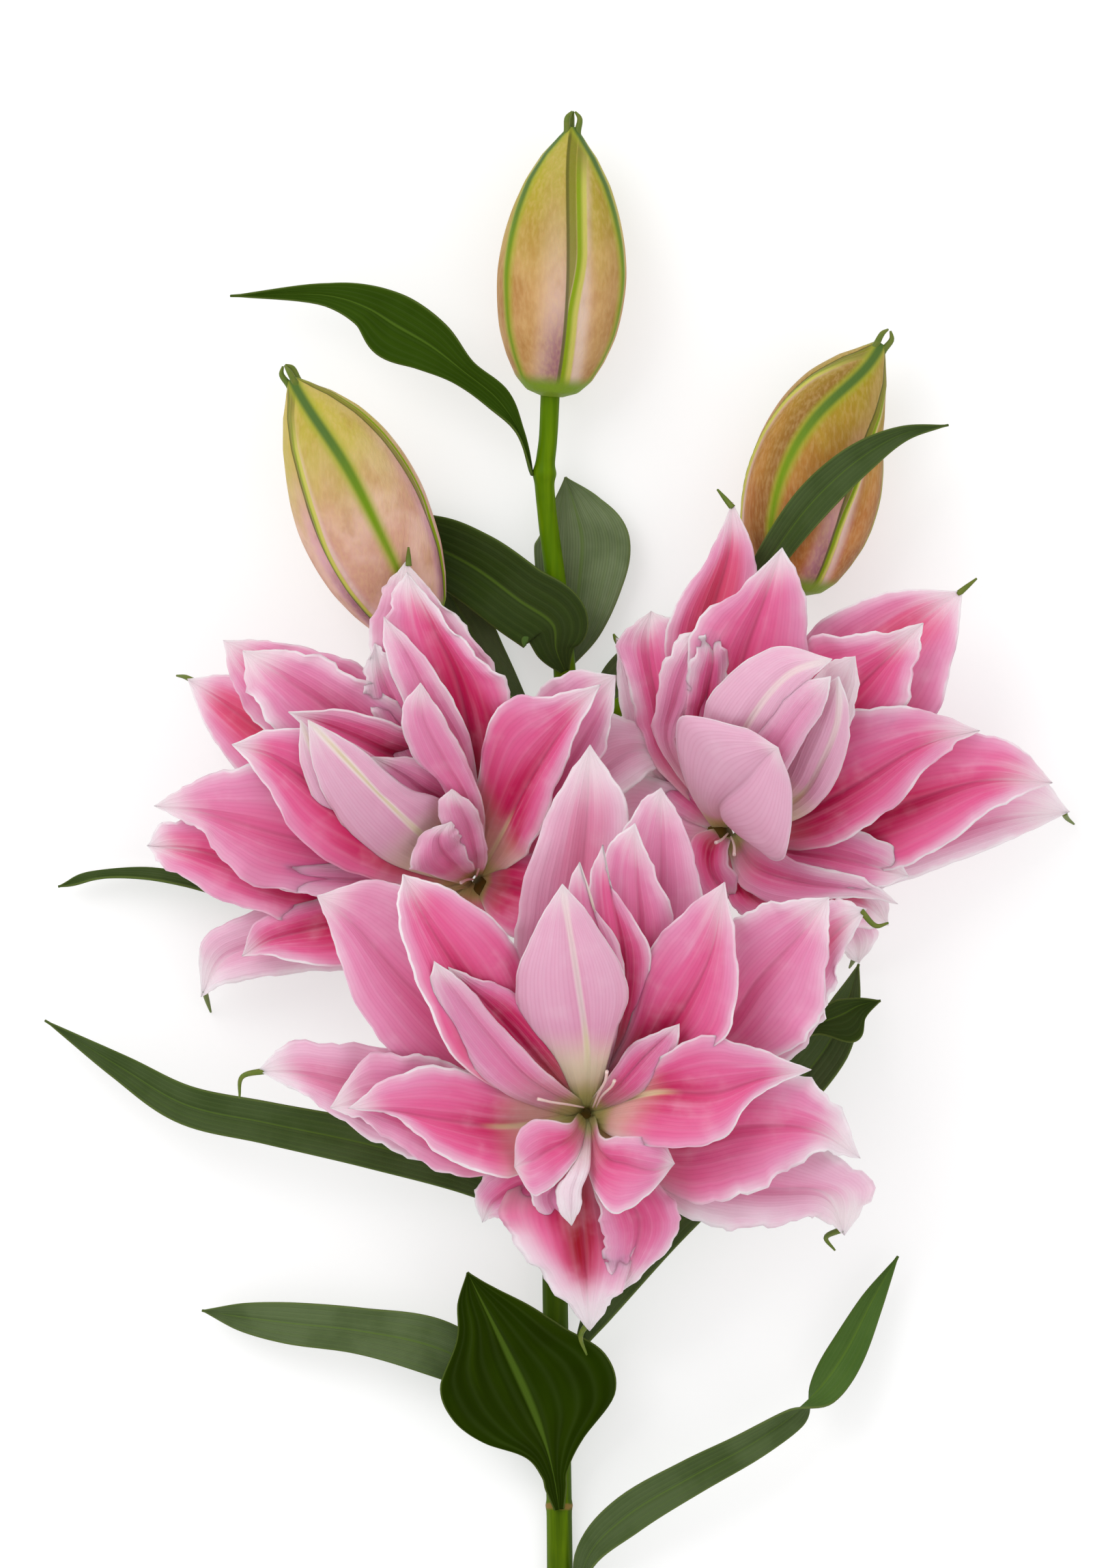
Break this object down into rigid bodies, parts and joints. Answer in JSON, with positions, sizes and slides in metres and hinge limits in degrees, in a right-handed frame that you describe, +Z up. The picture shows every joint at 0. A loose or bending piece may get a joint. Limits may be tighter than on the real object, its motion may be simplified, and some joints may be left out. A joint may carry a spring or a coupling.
{
  "type": "cut double-flowered lily stem",
  "caption": "Cut double-flowered lily stem lying flat, with open pink and white blooms, closed tan and pink buds and narrow green leaves.",
  "frame": {"origin": "on the surface that the stem lies on, below the middle of the whole flower", "axes": "+Y along the stem from the cut end to the top bud, +Z up from the surface, the way the blooms face, +X to the right as seen from above"},
  "size_m": [0.3373, 0.5103, 0.1184],
  "materials": {
    "stem": "waxy green plant stem",
    "leaf": "waxy dark green leaf with fine lengthwise veins",
    "petal": "soft pink petal with white rims and a deep pink midline",
    "bud": "waxy tan bud with lime green ribs and pink flanks"
  },
  "bodies": {
    "root": {"stem": "stem", "bud_top": "bud", "bud_left": "bud", "bud_right": "bud", "bloom_centre": "petal", "bloom_left": "petal", "bloom_right": "petal", "leaf_top_left": "leaf", "leaf_behind": "leaf", "leaf_dark": "leaf", "leaf_tuck": "leaf", "leaf_between": "leaf", "leaf_left_high": "leaf", "leaf_left_long": "leaf", "leaf_right_long": "leaf", "leaf_low_left": "leaf", "leaf_front": "leaf", "leaf_low_right": "leaf", "leaf_bud_right": "leaf", "leaf_bloom_centre": "leaf"}
  },
  "joints": []
}
